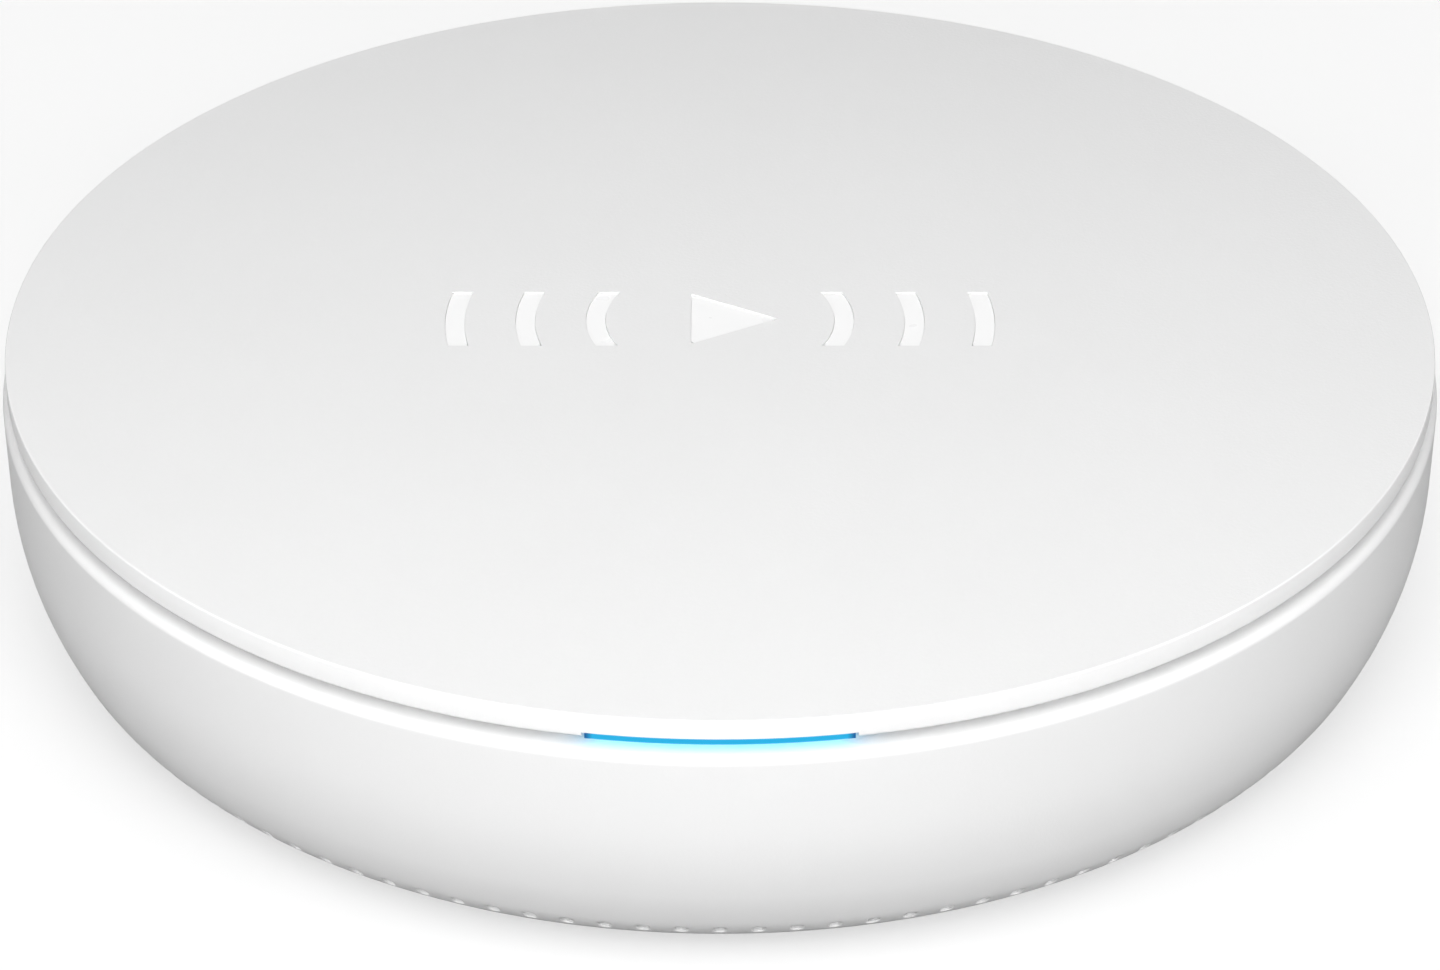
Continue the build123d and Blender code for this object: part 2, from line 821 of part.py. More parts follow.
with BuildPart() as wifi_antennas:
    for antenna_x in antenna_places:
        block(
            (antenna_x - antenna_half_width, antenna_x + antenna_half_width),
            (antenna_front_y, antenna_front_y + antenna_skin),
            (board_top_z, board_top_z + antenna_height),
        )
        block(
            (antenna_x - antenna_half_width, antenna_x + antenna_half_width),
            (antenna_front_y + antenna_skin, antenna_front_y + antenna_depth),
            (board_top_z + antenna_height - antenna_skin, board_top_z + antenna_height),
        )
save(wifi_antennas, "wifi_antennas")

with BuildPart() as tuner_shield:
    block(tuner_x, tuner_y, (board_top_z, board_top_z + tuner_height))
    fillet(tuner_shield.edges().filter_by(Axis.Z), tuner_corner)
    block(
        (tuner_x[0] + tuner_skin, tuner_x[1] - tuner_skin),
        (tuner_y[0] + tuner_skin, tuner_y[1] - tuner_skin),
        (board_top_z, board_top_z + tuner_height - tuner_skin),
        Mode.SUBTRACT,
    )
save(tuner_shield, "tuner_shield")

with BuildPart() as capacitors:
    disc(capacitor_places, capacitor_radius, board_top_z, board_top_z + capacitor_height)
    fillet(capacitors.edges().group_by(Axis.Z)[-1], capacitor_edge)
save(capacitors, "capacitors")

with BuildPart() as inductors:
    for inductor_y in inductor_rows:
        block(
            (inductor_x - inductor_half_width, inductor_x + inductor_half_width),
            (inductor_y - inductor_half_width, inductor_y + inductor_half_width),
            (board_top_z, board_top_z + inductor_height),
        )
    fillet(inductors.edges().filter_by(Axis.Z), inductor_corner)
save(inductors, "inductors")

# Aerial socket: threaded body, hex nut, insulator and contact
with BuildPart() as coax_connector:
    block(
        (coax_x - coax_half_width, coax_x + coax_half_width),
        (coax_rear_y, coax_body_front_y),
        (board_top_z, coax_z + coax_half_width),
    )
    disc_along_y(coax_x, coax_z, coax_barrel_radius - coax_relief, coax_body_front_y, coax_nut_front_y)
    disc_along_y(coax_x, coax_z, coax_barrel_radius, coax_nut_front_y, coax_tip_y)
    chamfer(coax_connector.edges().filter_by(GeomType.CIRCLE).sort_by(Axis.Y)[-1], coax_chamfer)
    disc_along_y(coax_x, coax_z, coax_bore_radius, coax_bore_rear_y, coax_tip_y, Mode.SUBTRACT)
save(coax_connector, "coax_connector")

with BuildPart() as coax_nut:
    with BuildSketch(Plane.XZ.offset(-panel_y)) as nut_outline:
        with Locations((coax_x, coax_z)):
            RegularPolygon(coax_nut_flats / 2, 6, major_radius=False)
            Circle(coax_barrel_radius - coax_relief + pilot_gap, mode=Mode.SUBTRACT)
    extrude(nut_outline.sketch, amount=-coax_nut_thickness)
save(coax_nut, "coax_nut")

with BuildPart() as coax_insulator:
    disc_along_y(coax_x, coax_z, coax_bore_radius - pilot_gap, insulator_rear_y, insulator_front_y)
    disc_along_y(
        coax_x,
        coax_z,
        coax_contact_radius + pilot_gap,
        insulator_rear_y,
        insulator_front_y,
        Mode.SUBTRACT,
    )
save(coax_insulator, "coax_insulator")

with BuildPart() as coax_contact:
    disc_along_y(coax_x, coax_z, coax_contact_radius, insulator_rear_y, coax_contact_front_y)
    disc_along_y(
        coax_x,
        coax_z,
        coax_contact_radius - coax_contact_wall,
        coax_contact_bore_y,
        coax_contact_front_y,
        Mode.SUBTRACT,
    )
save(coax_contact, "coax_contact")

# Network socket: metal shield round a moulded insert, with eight contacts
with BuildPart() as ethernet_shield:
    block(
        (ethernet_x - ethernet_width / 2, ethernet_x + ethernet_width / 2),
        (ethernet_rear_y, ethernet_front_y),
        (board_top_z, ethernet_top_z),
    )
    block(
        (ethernet_x - ethernet_width / 2 + shield_skin, ethernet_x + ethernet_width / 2 - shield_skin),
        (ethernet_rear_y + shield_skin, ethernet_front_y - shield_skin),
        (board_top_z, ethernet_top_z - shield_skin),
        Mode.SUBTRACT,
    )
    block(
        (ethernet_x - mouth_half_width, ethernet_x + mouth_half_width),
        (mouth_rear_y, ethernet_front_y + cut_margin),
        (mouth_low_z, mouth_high_z),
        Mode.SUBTRACT,
    )
    block(
        (ethernet_x - latch_half_width, ethernet_x + latch_half_width),
        (mouth_rear_y, ethernet_front_y + cut_margin),
        (mouth_high_z, latch_high_z),
        Mode.SUBTRACT,
    )
save(ethernet_shield, "ethernet_shield")

with BuildPart() as ethernet_insert:
    block(
        (
            ethernet_x - ethernet_width / 2 + shield_skin + insert_gap,
            ethernet_x + ethernet_width / 2 - shield_skin - insert_gap,
        ),
        (ethernet_rear_y + shield_skin + insert_gap, ethernet_front_y - shield_skin - insert_gap),
        (board_top_z, ethernet_top_z - shield_skin - insert_gap),
    )
    block(
        (ethernet_x - mouth_half_width, ethernet_x + mouth_half_width),
        (mouth_rear_y, ethernet_front_y),
        (mouth_low_z, mouth_high_z),
        Mode.SUBTRACT,
    )
    block(
        (ethernet_x - latch_half_width, ethernet_x + latch_half_width),
        (mouth_rear_y, ethernet_front_y),
        (mouth_high_z, latch_high_z),
        Mode.SUBTRACT,
    )
save(ethernet_insert, "ethernet_insert")

with BuildPart() as ethernet_contacts:
    for i in range(contact_count):
        contact_x = ethernet_x + (i - (contact_count - 1) / 2) * contact_pitch
        with BuildSketch(Plane.YZ.offset(contact_x)) as contact_profile:
            with BuildLine():
                FilletPolyline(
                    (mouth_rear_y, mouth_low_z + contact_rise),
                    (mouth_rear_y + contact_tail, mouth_low_z + contact_rise),
                    (mouth_rear_y + contact_tail + contact_run, contact_low_z),
                    (mouth_rear_y + 2 * contact_tail + contact_run, contact_low_z),
                    radius=contact_bend,
                )
            trace(line_width=contact_width)
        extrude(contact_profile.sketch, amount=contact_width / 2, both=True)
save(ethernet_contacts, "ethernet_contacts")

# USB socket: metal shield, tongue with four contacts
with BuildPart() as usb_shield:
    block((usb_x - usb_width / 2, usb_x + usb_width / 2), (usb_rear_y, usb_front_y), (usb_low_z, usb_top_z))
    fillet(usb_shield.edges().filter_by(Axis.Y), usb_corner)
    block(
        (usb_x - usb_width / 2 + shield_skin, usb_x + usb_width / 2 - shield_skin),
        (usb_rear_y, usb_front_y),
        (usb_low_z + shield_skin, usb_top_z - shield_skin),
        Mode.SUBTRACT,
    )
save(usb_shield, "usb_shield")

with BuildPart() as usb_tongue:
    block(
        (
            usb_x - usb_width / 2 + shield_skin + insert_gap,
            usb_x + usb_width / 2 - shield_skin - insert_gap,
        ),
        (usb_rear_y, tongue_block_y),
        (usb_low_z + shield_skin + insert_gap, usb_top_z - shield_skin - insert_gap),
    )
    block(
        (usb_x - tongue_half_width, usb_x + tongue_half_width),
        (tongue_block_y, tongue_front_y),
        (tongue_low_z, tongue_low_z + tongue_thickness),
    )
    chamfer(usb_tongue.edges().filter_by(Axis.X).group_by(Axis.Y)[-1], tongue_chamfer)
save(usb_tongue, "usb_tongue")

with BuildPart() as usb_contacts:
    for contact_x in usb_contact_places:
        block(
            (usb_x + contact_x - usb_contact_half_width, usb_x + contact_x + usb_contact_half_width),
            (tongue_block_y + insert_gap, tongue_front_y - usb_contact_setback),
            (tongue_low_z - usb_contact_thickness, tongue_low_z),
        )
save(usb_contacts, "usb_contacts")

# Power socket: moulded body with a round nose, and its centre pin
with BuildPart() as power_jack:
    block(
        (power_x - power_half_width, power_x + power_half_width),
        (power_rear_y, power_shoulder_y),
        (board_top_z, board_top_z + power_height),
    )
    disc_along_y(power_x, socket_z, power_nose_radius, power_shoulder_y, panel_y)
    disc_along_y(power_x, socket_z, power_bore_radius, power_bore_rear_y, panel_y, Mode.SUBTRACT)
save(power_jack, "power_jack")

with BuildPart() as power_pin:
    disc_along_y(power_x, socket_z, power_pin_radius, power_bore_rear_y, panel_y - power_pin_setback)
    fillet(power_pin.edges().sort_by(Axis.Y)[-1], power_pin_nose)
save(power_pin, "power_pin")

# Reset button, and the tactile switch that it presses
with BuildPart() as tact_switch:
    block(
        (reset_x - switch_half_width, reset_x + switch_half_width),
        (switch_front_y - switch_depth, switch_front_y),
        (board_top_z, reset_z + switch_half_width),
    )
    disc_along_y(
        reset_x,
        reset_z,
        plunger_radius + plunger_gap,
        plunger_rear_y - 2 * reset_travel,
        switch_front_y,
        Mode.SUBTRACT,
    )
save(tact_switch, "tact_switch")

with BuildPart() as switch_plunger:
    disc_along_y(reset_x, reset_z, plunger_radius, plunger_rear_y, plunger_front_y)
save(switch_plunger, "switch_plunger")

with BuildPart() as reset_button:
    disc_along_y(reset_x, reset_z, stem_radius, plunger_front_y, flange_rear_y)
    disc_along_y(reset_x, reset_z, flange_radius, flange_rear_y, flange_front_y)
    disc_along_y(reset_x, reset_z, reset_radius, flange_front_y, panel_y + reset_stand)
    fillet(reset_button.edges().sort_by(Axis.Y)[-1], reset_edge_radius)
save(reset_button, "reset_button")
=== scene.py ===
"""Looks for a round white streaming media player: shells, light strip, materials, studio and camera."""
import json
import math

import bmesh
import bpy
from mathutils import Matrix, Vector

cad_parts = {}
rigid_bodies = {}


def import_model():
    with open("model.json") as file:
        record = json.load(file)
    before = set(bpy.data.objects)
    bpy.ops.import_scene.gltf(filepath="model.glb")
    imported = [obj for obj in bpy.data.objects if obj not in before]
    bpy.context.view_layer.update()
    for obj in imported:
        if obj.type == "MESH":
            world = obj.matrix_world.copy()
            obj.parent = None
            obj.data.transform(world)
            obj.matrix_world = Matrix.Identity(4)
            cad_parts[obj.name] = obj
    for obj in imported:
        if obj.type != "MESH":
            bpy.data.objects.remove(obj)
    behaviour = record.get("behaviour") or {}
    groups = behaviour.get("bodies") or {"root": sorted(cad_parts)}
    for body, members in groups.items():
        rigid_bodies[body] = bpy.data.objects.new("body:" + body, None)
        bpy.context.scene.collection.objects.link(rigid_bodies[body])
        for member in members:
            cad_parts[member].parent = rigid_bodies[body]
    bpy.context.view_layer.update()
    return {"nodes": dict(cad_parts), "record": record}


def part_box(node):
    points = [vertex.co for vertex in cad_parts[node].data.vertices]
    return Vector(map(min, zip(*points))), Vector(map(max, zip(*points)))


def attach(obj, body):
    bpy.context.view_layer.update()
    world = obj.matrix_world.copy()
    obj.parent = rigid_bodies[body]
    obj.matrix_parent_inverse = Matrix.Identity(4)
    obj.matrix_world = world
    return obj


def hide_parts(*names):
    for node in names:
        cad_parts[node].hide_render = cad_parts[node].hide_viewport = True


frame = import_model()
NODES = frame["nodes"]
RECORD = frame["record"]

MM = 0.001
TURN = 2 * math.pi
FRONT = -math.pi / 2
cover_low, cover_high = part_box("top_cover")
housing_low, housing_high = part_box("lower_housing")
ring_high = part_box("foot_ring")[1]
guide_low, guide_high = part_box("light_guide")
label_low, label_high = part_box("rating_label")
main_board_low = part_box("main_board")[0]

# Cover
COVER_RADIUS = cover_high.x
TOP = cover_high.z
COVER_UNDER = housing_high.z
COVER_CEILING = TOP - 2.2 * MM
TOP_EDGE = 0.2 * MM
UNDER_EDGE = 0.5 * MM
SKIRT_INNER = 78.8 * MM
SKIRT_OUTER = 80.2 * MM
SKIRT_LOW = 28.3 * MM
SKIRT_FRONT_GAP = 16  # degrees left open either side of the front
SKIRT_REAR_GAP = 32  # and of the back
HOOK_ANGLES = (0, 45, 135, 180, 225, 315)
HOOK_HALF = math.radians(3)
HOOK_REACH = 1.3 * MM
HOOK_ROOT = 0.5 * MM  # how far a hook reaches into the skirt
HOOK_LIFT = 0.05 * MM
HOOK_TOE = 0.02 * MM
HOOK_NOSE = 0.3 * MM
HOOK_CLEARANCE = 0.1 * MM
MARK_DEPTH = 0.4 * MM
MARK_HEIGHT = 13 * MM
MARK_STROKE = 2.4 * MM
MARK_RADII = [32 * MM, 23.5 * MM, 15 * MM]
MARK_PLAY = 7 * MM
MARK_CORNER = 0.6 * MM
OVERLAP = 0.3 * MM  # how far joined solids reach into each other
FIT = 0.05 * MM

# Light guide
GUIDE_INNER = 77 * MM
GUIDE_BEND = 79.4 * MM
GUIDE_DROP = 83 * MM
GUIDE_LIP = 84.6 * MM
GUIDE_FACE = 85.7 * MM
GUIDE_HALF = math.asin(guide_high.x / GUIDE_FACE) + math.radians(0.2)
POCKET_MARGIN = math.radians(0.2)
LIP_ROUND = 0.08 * MM
STRIP_LOW = COVER_UNDER - 0.15 * MM
STRIP_HIGH = STRIP_LOW + 0.75 * MM

# Housing
BODY_RADIUS = housing_high.x
BASE = housing_low.z
WALL = 2 * MM
LEDGE = COVER_UNDER - 1.55 * MM
LEDGE_UNDER = LEDGE - WALL
SHOULDER = 1 * MM
RIM_INNER = 80.5 * MM
RIM_OUTER = 82.5 * MM
DRAFT = math.radians(1)
SIDE_RADIUS = 36 * MM
CORNER_ANGLE = math.radians(26)
CORNER_RADIUS = 10 * MM
GAP = 0.3 * MM
FLOOR = BASE + WALL
GROOVE_TOP = ring_high.z
FOOT_INNER = 61 * MM
BOSS_RADIUS = 4 * MM
BOSS_SPLIT = cover_low.z
SCREW_CIRCLE = 66 * MM
SCREW_ANGLES = [25, 155, 240, 300]
SCREW_PILOT = 1.5 * MM
SCREW_PILOT_DEPTH = 11 * MM
SCREW_SHANK = 1.7 * MM
SCREW_HEAD = 2.9 * MM
SCREW_SEAT = 4.4 * MM
BOARD_SCREW_PLACES = [(-47 * MM, -32 * MM), (47 * MM, -32 * MM), (-47 * MM, 44 * MM), (47 * MM, 44 * MM)]
BOARD_BOSS_RADIUS = 3.5 * MM
BOARD_PILOT = 1.3 * MM
BOARD_PILOT_LOW = 3.5 * MM
SHELF_INNER = 73 * MM
SHELF_LOW = 28 * MM
SHELF_HALF = math.radians(15)
BASE_VENTS = 40
BASE_VENT_INNER = 45 * MM
BASE_VENT_OUTER = 55 * MM
BASE_VENT_ROUND = 1 * MM
LABEL_CORNER = 2.3 * MM
LABEL_RECESS = 0.15 * MM

# Vents round the lower corner, one to a tile of the shell
VENTS = 120
TILE_SIDE = 6  # edges along each side of a tile
SEGMENTS = VENTS * TILE_SIDE
VENT_ANGLE = math.radians(37.5)
VENT_HALF_WIDTH = 0.7 * MM
VENT_STRAIGHT = 0.25 * MM
VENT_LIP = 0.16 * MM  # rounding of a vent's outer edge
TILE_ANGLE = math.radians(9)

# Rear bay
PANEL = 77 * MM
PANEL_INNER = 75 * MM
BAY_HALF_WIDTH = 35.5 * MM
BAY_LOW = 9 * MM
BAY_HIGH = 26 * MM
BAY_CORNER = 2.5 * MM
BAY_CUT = 20 * MM
BLOCK_HALF_WIDTH = 39 * MM
BLOCK_WALL = 1.5 * MM
COAX_HOLE = 5 * MM
POWER_HOLE = 4.3 * MM
BUTTON_HOLE = 2.3 * MM

# Grain, mottling and edges of every surface
MOTTLE_SCALE = 35
SHEEN_SCALE = 260
NOISE_SPAN = (0.3, 0.7)  # where a noise is taken to start and to end
EDGE_SPAN = (0.53, 0.62)  # pointiness of the first and of the full edge wear

# ---------------------------------------------------------------- mesh helpers


def polar(radius, angle):
    return (radius * math.cos(angle), radius * math.sin(angle))


def arc(centre, radius, start, end, steps):
    """Points on an arc, ends included; angles in radians, anticlockwise from the first axis."""
    turn = (end - start) / steps
    return [
        (centre[0] + radius * math.cos(start + i * turn), centre[1] + radius * math.sin(start + i * turn))
        for i in range(steps + 1)
    ]


def make_object(name, mesh_data, merge=0.0):
    """Turn a bmesh into an object, its normals facing outwards."""
    if merge:
        bmesh.ops.remove_doubles(mesh_data, verts=mesh_data.verts, dist=merge)
    bmesh.ops.recalc_face_normals(mesh_data, faces=mesh_data.faces)
    mesh = bpy.data.meshes.new(name)
    mesh_data.to_mesh(mesh)
    mesh_data.free()
    piece = bpy.data.objects.new(name, mesh)
    bpy.context.scene.collection.objects.link(piece)
    return piece


def sweep(mesh_data, outline, start, turn, steps, closed=False):
    """Rows of faces from an outline of (radius, height) points turned about +Z; returns its points."""
    whole = abs(turn - TURN) < 1e-9
    count = steps if whole else steps + 1
    rows = []
    for radius, height in outline:
        row = []
        for i in range(count):
            x, y = polar(radius, start + turn * i / steps)
            row.append(mesh_data.verts.new((x, y, height)))
        rows.append(row)
    pairs = list(zip(rows, rows[1:]))
    if closed:
        pairs.append((rows[-1], rows[0]))
    for low, high in pairs:
        for i in range(steps):
            j = (i + 1) % count
            mesh_data.faces.new((low[i], low[j], high[j], high[i]))
    return rows


def turned(name, outline, steps=SEGMENTS):
    """Solid turned from an open outline, its first and last rows capped."""
    mesh_data = bmesh.new()
    rows = sweep(mesh_data, outline, 0, TURN, steps)
    mesh_data.faces.new(rows[0])
    mesh_data.faces.new(rows[-1])
    return make_object(name, mesh_data)


def sector(name, outline, centre, half_angle, steps):
    """Solid swept from a closed outline, either side of an angle about +Z."""
    mesh_data = bmesh.new()
    rows = sweep(mesh_data, outline, centre - half_angle, 2 * half_angle, steps, closed=True)
    mesh_data.faces.new([row[0] for row in rows])
    mesh_data.faces.new([row[-1] for row in rows])
    return make_object(name, mesh_data)


def add_prism(mesh_data, outline, place):
    """Close a prism between place(point, 0) and place(point, 1) for each outline point."""
    ends = [[mesh_data.verts.new(place(point, end)) for point in outline] for end in (0, 1)]
    for i in range(len(outline)):
        j = (i + 1) % len(outline)
        mesh_data.faces.new((ends[0][i], ends[0][j], ends[1][j], ends[1][i]))
    mesh_data.faces.new(ends[0])
    mesh_data.faces.new(ends[1])


def upright(low, high):
    """Place for a prism whose outline is in x and y."""
    return lambda point, end: (point[0], point[1], high if end else low)


def lengthwise(low, high):
    """Place for a prism whose outline is in x and z."""
    return lambda point, end: (point[0], high if end else low, point[1])


def rounded(x, y, corner, steps=6):
    """Rounded rectangle between two limits along each axis."""
    corners = [(x[1], y[1], 0), (x[0], y[1], 1), (x[0], y[0], 2), (x[1], y[0], 3)]
    points = []
    for corner_x, corner_y, quarter in corners:
        centre = (
            corner_x - corner * (1 if corner_x == x[1] else -1),
            corner_y - corner * (1 if corner_y == y[1] else -1),
        )
        points += arc(centre, corner, quarter * math.pi / 2, (quarter + 1) * math.pi / 2, steps)
    return points


def circle(centre, radius, steps=48):
    return arc(centre, radius, 0, TURN, steps)[:-1]


def prisms(name, outlines, place):
    mesh_data = bmesh.new()
    for outline in outlines:
        add_prism(mesh_data, outline, place)
    return make_object(name, mesh_data)


def combine(piece, operation, *others):
    """Boolean each other solid with a piece, then drop the others."""
    for other in others:
        modifier = piece.modifiers.new("combine", "BOOLEAN")
        modifier.object = other
        modifier.operation = operation
        modifier.solver = "MANIFOLD"
        graph = bpy.context.evaluated_depsgraph_get()
        mesh = bpy.data.meshes.new_from_object(piece.evaluated_get(graph))
        piece.modifiers.remove(modifier)
        piece.data = mesh
        bpy.data.objects.remove(other)


def finish_piece(piece, node, slot_name, sharp=math.radians(30)):
    """Smooth a piece and let it stand for a CAD node."""
    for polygon in piece.data.polygons:
        polygon.use_smooth = True
    piece.data.set_sharp_from_angle(angle=sharp)
    piece.data.materials.clear()
    piece.data.materials.append(MATERIALS[slot_name].material)
    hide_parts(node)
    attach(piece, "housing")


# ---------------------------------------------------------------- material helpers


class Shader:
    """A new node material with one Principled shader, built up by short calls."""

    def __init__(self, name, color, roughness, **inputs):
        self.material = bpy.data.materials.new(name)
        self.material.use_nodes = True
        self.nodes = self.material.node_tree.nodes
        self.links = self.material.node_tree.links
        self.surface = self.nodes["Principled BSDF"]
        self.coords = self.nodes.new("ShaderNodeTexCoord").outputs["Object"]
        self.set("Base Color", (*color, 1))
        self.set("Roughness", roughness)
        for key, value in inputs.items():
            self.set(key.replace("_", " "), value)
        self.normal = None

    def set(self, socket, value):
        self.surface.inputs[socket].default_value = value

    def link(self, source, socket):
        self.links.new(source, self.surface.inputs[socket])

    def noise(self, scale, detail=2.0, rough=0.5):
        node = self.nodes.new("ShaderNodeTexNoise")
        node.inputs["Scale"].default_value = scale
        node.inputs["Detail"].default_value = detail
        node.inputs["Roughness"].default_value = rough
        self.links.new(self.coords, node.inputs["Vector"])
        return node.outputs["Fac"]

    def axis(self, name):
        """One coordinate of the object's own space, in metres."""
        node = self.nodes.new("ShaderNodeSeparateXYZ")
        self.links.new(self.coords, node.inputs["Vector"])
        return node.outputs[name]

    def facing_up(self):
        """1 on faces that look up, 0 on upright ones and -1 on those that look down."""
        node = self.nodes.new("ShaderNodeSeparateXYZ")
        self.links.new(self.nodes.new("ShaderNodeNewGeometry").outputs["Normal"], node.inputs["Vector"])
        return node.outputs["Z"]

    def source(self, socket):
        """What is linked to one of the shader's sockets now."""
        return self.surface.inputs[socket].links[0].from_socket

    def edges(self):
        """Near 1 along convex edges, about 0.5 on flat faces."""
        return self.nodes.new("ShaderNodeNewGeometry").outputs["Pointiness"]

    def maths(self, operation, first, second=0.0):
        node = self.nodes.new("ShaderNodeMath")
        node.operation = operation
        for index, value in enumerate((first, second)):
            if isinstance(value, (int, float)):
                node.inputs[index].default_value = value
            else:
                self.links.new(value, node.inputs[index])
        return node.outputs["Value"]

    def ramp(self, source, low, high, out_low=0.0, out_high=1.0):
        node = self.nodes.new("ShaderNodeMapRange")
        node.inputs["From Min"].default_value = low
        node.inputs["From Max"].default_value = high
        node.inputs["To Min"].default_value = out_low
        node.inputs["To Max"].default_value = out_high
        self.links.new(source, node.inputs["Value"])
        return node.outputs["Result"]

    def mix(self, factor, low, high, socket="Base Color"):
        node = self.nodes.new("ShaderNodeMix")
        node.data_type = "RGBA"
        for key, value in (("A", low), ("B", high)):
            target = [i for i in node.inputs if i.name == key and i.type == "RGBA"][0]
            if isinstance(value, tuple):
                target.default_value = (*value, 1)
            else:
                self.links.new(value, target)
        self.links.new(factor, node.inputs["Factor"])
        result = [o for o in node.outputs if o.type == "RGBA"][0]
        if socket:
            self.link(result, socket)
        return result

    def bump(self, height, distance, strength=1.0):
        node = self.nodes.new("ShaderNodeBump")
        node.inputs["Distance"].default_value = distance
        node.inputs["Strength"].default_value = strength
        self.links.new(height, node.inputs["Height"])
        if self.normal:
            self.links.new(self.normal, node.inputs["Normal"])
        self.normal = node.outputs["Normal"]
        self.link(self.normal, "Normal")


def worn(name, color, roughness, grain, depth, spread=0.05, blotch=0.03, wear=0.06, **inputs):
    """A surface with fine grain, faint mottling, uneven sheen and edges a little polished by handling."""
    shader = Shader(name, color, roughness, **inputs)
    darker = tuple(c * (1 - blotch) for c in color)
    lighter = tuple(min(1, c * (1 + wear)) for c in color)
    mottled = shader.mix(shader.ramp(shader.noise(MOTTLE_SCALE, 3), *NOISE_SPAN), darker, color, socket=None)
    edge = shader.ramp(shader.edges(), *EDGE_SPAN)
    shader.mix(edge, mottled, lighter)
    sheen = shader.ramp(shader.noise(SHEEN_SCALE), *NOISE_SPAN, roughness - spread, roughness + spread)
    shader.link(shader.maths("SUBTRACT", sheen, shader.ramp(edge, 0, 1, 0, wear)), "Roughness")
    shader.bump(shader.noise(grain, 3, 0.6), depth)
    return shader


WHITE = (0.88, 0.88, 0.88)
# Slot: colour, roughness, grain scale, grain depth in microns, and what differs from worn()'s own values
SURFACES = {
    "cover_white": (WHITE, 0.5, 2200, 40, {"blotch": 0.01, "wear": 0}),
    "housing_white": (WHITE, 0.34, 2600, 15, {"spread": 0.03, "blotch": 0.01, "wear": 0}),
    "mark_gloss": ((1.0, 1.0, 1.0), 0.3, 900, 5, {"spread": 0.03, "blotch": 0.01, "wear": 0}),
    "foot_rubber": ((0.32, 0.32, 0.33), 0.75, 3200, 80, {"blotch": 0.12, "wear": 0.15}),
    "label_film": ((0.72, 0.73, 0.74), 0.42, 1500, 10, {"blotch": 0.03, "wear": 0.05}),
    "screw_steel": ((0.55, 0.55, 0.56), 0.34, 1800, 20, {"wear": 0.2, "Metallic": 1.0}),
    "led_lens": ((0.85, 0.8, 0.5), 0.2, 1200, 10, {"wear": 0.02}),
    "connector_ivory": ((0.78, 0.74, 0.62), 0.5, 2400, 30, {}),
    "flex_film": ((0.72, 0.38, 0.1), 0.3, 900, 20, {}),
    "chip_black": ((0.03, 0.03, 0.032), 0.55, 3000, 30, {"blotch": 0.2, "wear": 0.3}),
    "pad_grey": ((0.36, 0.38, 0.42), 0.8, 1600, 50, {"blotch": 0.1}),
    "heat_aluminium": ((0.78, 0.79, 0.8), 0.38, 1100, 30, {"wear": 0.1, "Metallic": 1.0}),
    "black_plastic": ((0.025, 0.025, 0.026), 0.45, 2600, 40, {"blotch": 0.15, "wear": 0.5}),
    "shield_tin": ((0.72, 0.71, 0.69), 0.3, 700, 20, {"blotch": 0.06, "wear": 0.15, "Metallic": 1.0}),
    "capacitor_can": ((0.62, 0.63, 0.66), 0.28, 900, 20, {"Metallic": 1.0}),
    "ferrite_grey": ((0.11, 0.11, 0.12), 0.7, 2400, 60, {"blotch": 0.2, "wear": 0.3}),
    "socket_nickel": ((0.74, 0.72, 0.67), 0.24, 1300, 20, {"wear": 0.15, "Metallic": 1.0}),
    "contact_gold": ((0.9, 0.66, 0.28), 0.22, 1500, 10, {"wear": 0.1, "Metallic": 1.0}),
    "button_grey": ((0.45, 0.45, 0.46), 0.48, 2600, 30, {"blotch": 0.05, "wear": 0.1}),
}
MICRON = 1e-6
MATERIALS = {
    slot: worn(slot, color, roughness, grain, depth * MICRON, **options)
    for slot, (color, roughness, grain, depth, options) in SURFACES.items()
}

# Painted light on the cover: its rim is painted paler than its top, as if lit more, and its rounded edge is
# painted paler still, a painted highlight, and is also glossier. The spans are how far a face looks up where
# an effect starts and where it is full.
UPRIGHT_SPAN = (0.9, 0.3)
EDGE_LOW_SPAN = (0.15, 0.4)
EDGE_HIGH_SPAN = (0.99, 0.9)
EDGE_GLOSS = 0.3
# Painted light: the rim is painted this paler white, as if lit more than the top
RIM_PAINTED_LIGHT = (0.97, 0.97, 0.97)
# Painted highlight: the rounded top edge is painted this white
EDGE_PAINTED_HIGHLIGHT = (1.0, 1.0, 1.0)
cover_shader = MATERIALS["cover_white"]
# Painted light: upright faces of the cover are painted paler than its top
rim_painted_light_mask = cover_shader.ramp(cover_shader.maths("ABSOLUTE", cover_shader.facing_up()), *UPRIGHT_SPAN)
cover_shader.mix(rim_painted_light_mask, cover_shader.source("Base Color"), RIM_PAINTED_LIGHT)
# Painted highlight: the rounded top edge is painted paler still; the same mask also lowers its roughness, a
# real gloss
edge_highlight_and_gloss_mask = cover_shader.maths(
    "MULTIPLY",
    cover_shader.ramp(cover_shader.facing_up(), *EDGE_LOW_SPAN),
    cover_shader.ramp(cover_shader.facing_up(), *EDGE_HIGH_SPAN),
)
cover_shader.mix(edge_highlight_and_gloss_mask, cover_shader.source("Base Color"), EDGE_PAINTED_HIGHLIGHT)
gloss = cover_shader.ramp(edge_highlight_and_gloss_mask, 0, 1, 0, EDGE_GLOSS)
cover_shader.link(cover_shader.maths("SUBTRACT", cover_shader.source("Roughness"), gloss), "Roughness")

# The bowl has painted shade where it turns under, and painted light where it looks up: it is painted palest
# on its shoulder, its ledge and the lower lips of its vents
UNDER_SPAN = (-0.3, -0.75)
SHOULDER_SPAN = (0.05, 0.35)
